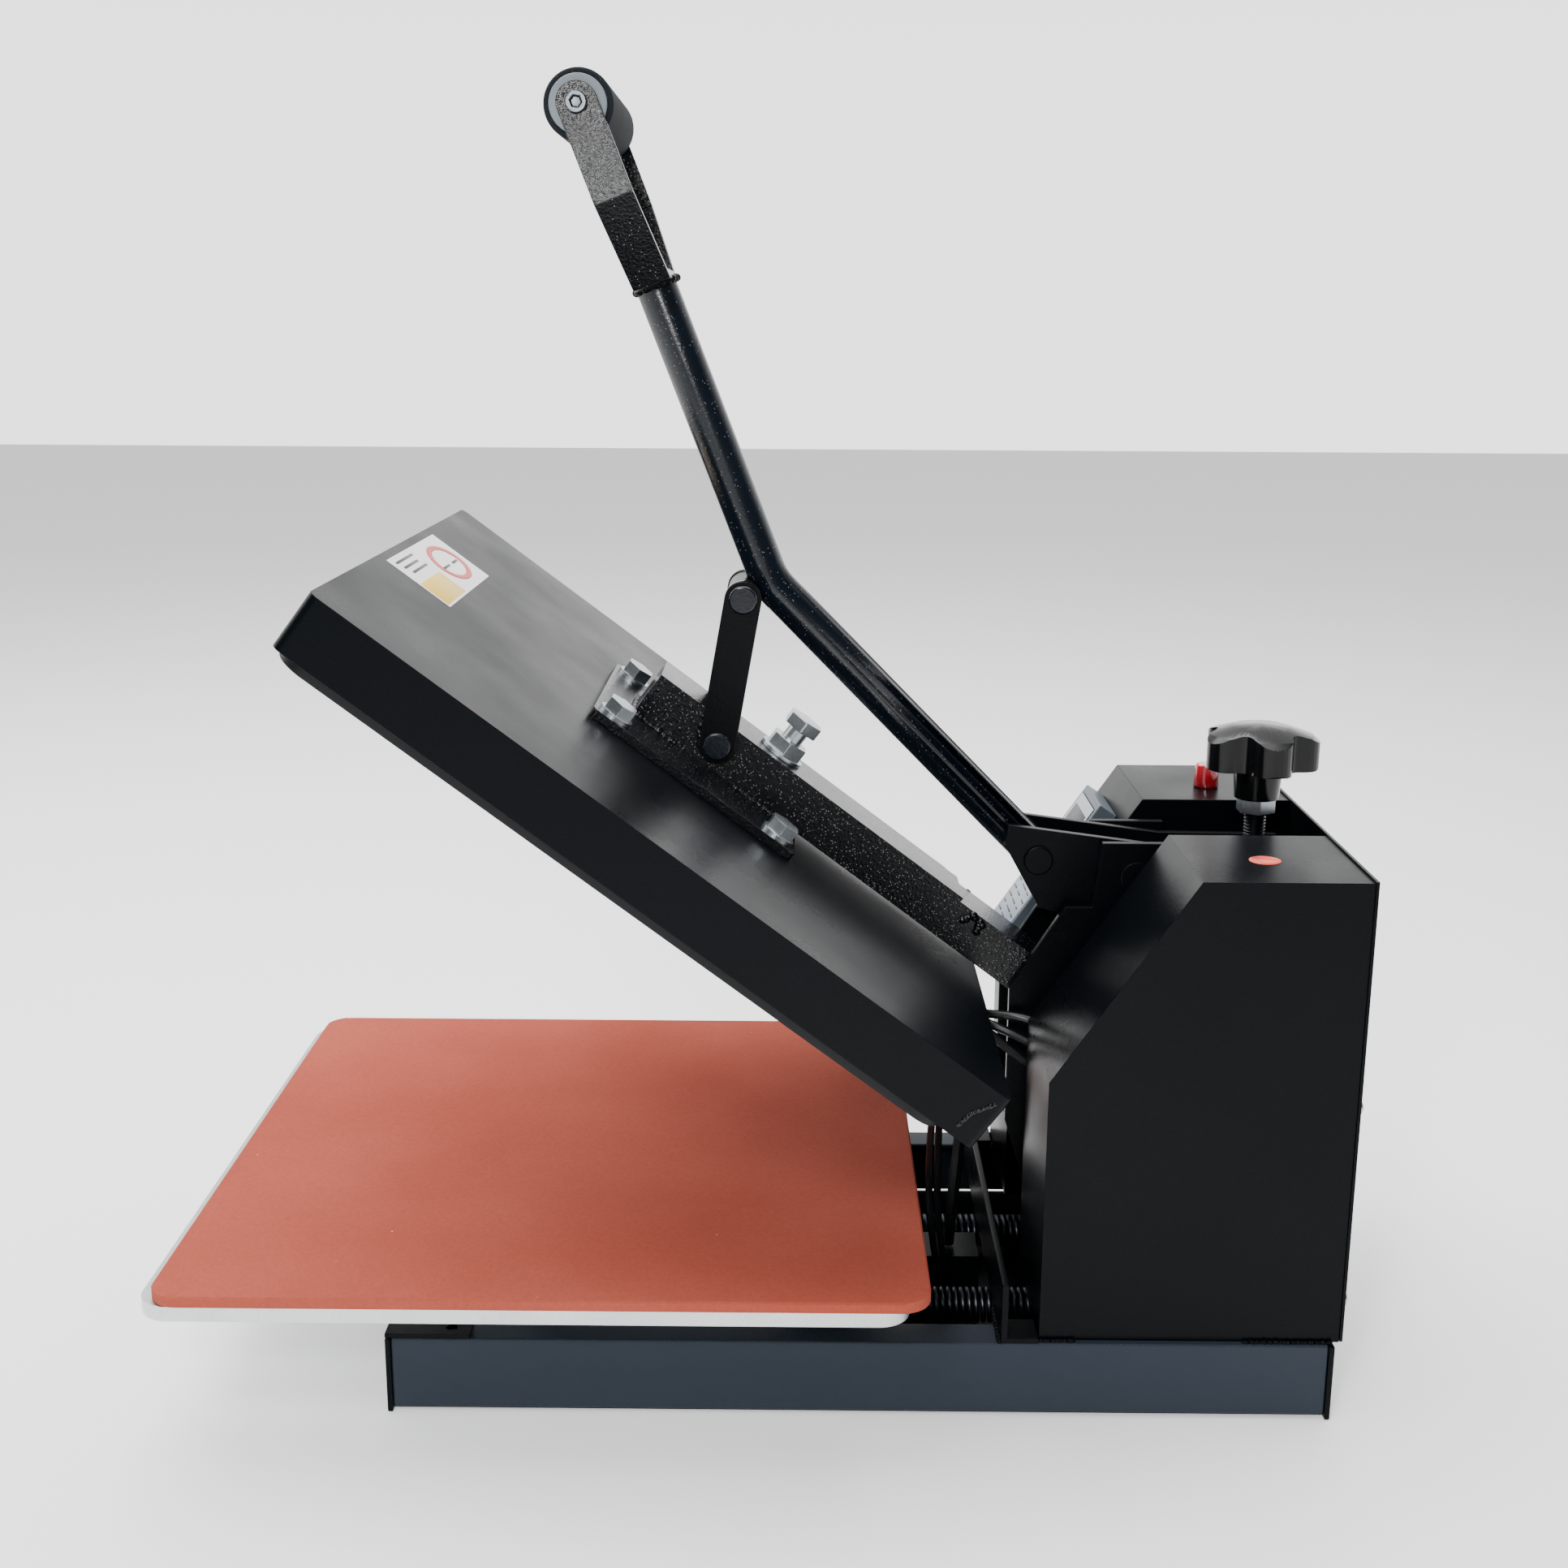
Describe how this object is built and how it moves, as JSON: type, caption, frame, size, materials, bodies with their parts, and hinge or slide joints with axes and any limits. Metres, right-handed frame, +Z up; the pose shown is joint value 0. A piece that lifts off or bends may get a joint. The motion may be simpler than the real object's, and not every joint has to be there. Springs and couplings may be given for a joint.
{
  "type": "flat heat press",
  "caption": "Clamshell flat heat press with a swing-up heated head, silicone-padded lower platen, toggle handle with grip, pressure screw, twin housings and steel base",
  "frame": {"origin": "on the floor, under the centre of the silicone pad", "axes": "+Z up, -Y towards the operator, +X to the operator's right"},
  "size_m": [0.389, 0.6095, 0.6707],
  "materials": {
    "base_slate": "gloss powder coat",
    "black_steel": "gloss powder coat",
    "zinc": "zinc plated",
    "brushed_aluminium": "brushed",
    "plate_coating": "matte non-stick coating",
    "silicone": "matte",
    "spring_steel": "oiled black",
    "orange_label": "printed",
    "grey_plastic": "satin",
    "display": "gloss",
    "light_plastic": "satin",
    "red_lens": "gloss",
    "black_plastic": "satin",
    "red_plastic": "gloss",
    "cable_black": "satin",
    "board": "matte",
    "white_label": "gloss film",
    "knob_black": "gloss",
    "grip_rubber": "matte"
  },
  "bodies": {
    "base": {"side_rails": "base_slate", "end_plates": "black_steel", "corner_flanges": "black_steel", "centre_beam": "black_steel", "platen_supports": "black_steel", "cross_wall": "black_steel", "platen_posts": "zinc", "lower_platen": "brushed_aluminium", "platen_bolts": "zinc", "silicone_pad": "silicone", "spring_anchors": "zinc", "lift_springs": "spring_steel", "column_plates": "black_steel", "column_web": "black_steel", "head_hinge_pin": "black_steel", "rocker_pin": "black_steel", "housing_right": "black_steel", "housing_left": "black_steel", "rear_panel": "black_steel", "rear_screws": "zinc", "round_label": "orange_label", "controller_case": "grey_plastic", "controller_window": "display", "indicator_lamp": "red_lens", "power_inlet": "black_plastic", "power_switch_frame": "black_plastic", "fuse_holder": "black_plastic", "relay": "light_plastic", "head_cables": "cable_black", "drop_cables": "cable_black", "rocker_plates": "black_steel", "rocker_nut_bar": "black_steel", "handle_pivot_pin": "black_steel"},
    "head": {"head_cover": "black_steel", "heating_plate": "plate_coating", "heating_element": "zinc", "insulation_board": "board", "arm_plate": "black_steel", "arm_plate_bolts": "zinc", "lifting_arm": "black_steel", "arm_hinge": "black_steel", "centre_bolt": "zinc", "centre_nut": "zinc", "caution_label": "white_label", "cable_gland": "cable_black"},
    "screw": {"pressure_screw": "zinc", "lock_nut": "zinc", "star_knob": "knob_black"},
    "handle": {"handle_tube": "black_steel", "handle_sleeves": "black_steel", "grip_fork": "black_steel", "grip_axle": "zinc"},
    "grip": {"grip_roller": "grip_rubber", "grip_caps": "grey_plastic"},
    "link": {"links": "black_steel", "link_pins": "black_steel"},
    "button_a": {"controller_button_a": "light_plastic"},
    "button_b": {"controller_button_b": "light_plastic"},
    "button_c": {"controller_button_c": "light_plastic"},
    "switch_key": {"power_switch": "red_plastic"}
  },
  "joints": [
    {"name": "head_tilt", "type": "hinge", "parent": "base", "child": "head", "pos_m": [0, 0.31675, 0.13225], "axis": [1, 0, 0], "range_deg": [0, 36.87], "deforming": ["head_cables", "drop_cables"]},
    {"name": "knob_turn", "type": "hinge", "parent": "base", "child": "screw", "pos_m": [0, 0.376, 0.26], "axis": [0, 0, 1], "range_deg": [-360, 360]},
    {"name": "handle_swing", "type": "hinge", "parent": "base", "child": "handle", "pos_m": [0, 0.255, 0.2685], "axis": [1, 0, 0], "range_deg": [0, 54.6]},
    {"name": "link_swing", "type": "hinge", "parent": "handle", "child": "link", "pos_m": [0, 0.094, 0.4115], "axis": [1, 0, 0], "range_deg": [-73, 0]},
    {"name": "grip_spin", "type": "hinge", "parent": "handle", "child": "grip", "pos_m": [0, 0.01597, 0.65374], "axis": [1, 0, 0], "continuous": true},
    {"name": "press_button_a", "type": "slide", "parent": "base", "child": "button_a", "axis": [0, 0.8284, -0.5602], "range_m": [0, 0.0012], "stiffness_N_per_m": 400},
    {"name": "press_button_b", "type": "slide", "parent": "base", "child": "button_b", "axis": [0, 0.8284, -0.5602], "range_m": [0, 0.0012], "stiffness_N_per_m": 400},
    {"name": "press_button_c", "type": "slide", "parent": "base", "child": "button_c", "axis": [0, 0.8284, -0.5602], "range_m": [0, 0.0012], "stiffness_N_per_m": 400},
    {"name": "switch_rock", "type": "hinge", "parent": "base", "child": "switch_key", "pos_m": [0.088, 0.404, 0.1285], "axis": [1, 0, 0], "range_deg": [0, 8]}
  ],
  "couplings": [
    {"joint": "handle_swing", "follows": "head_tilt", "ratio": 1.474},
    {"joint": "link_swing", "follows": "head_tilt", "ratio": -1.9736}
  ]
}
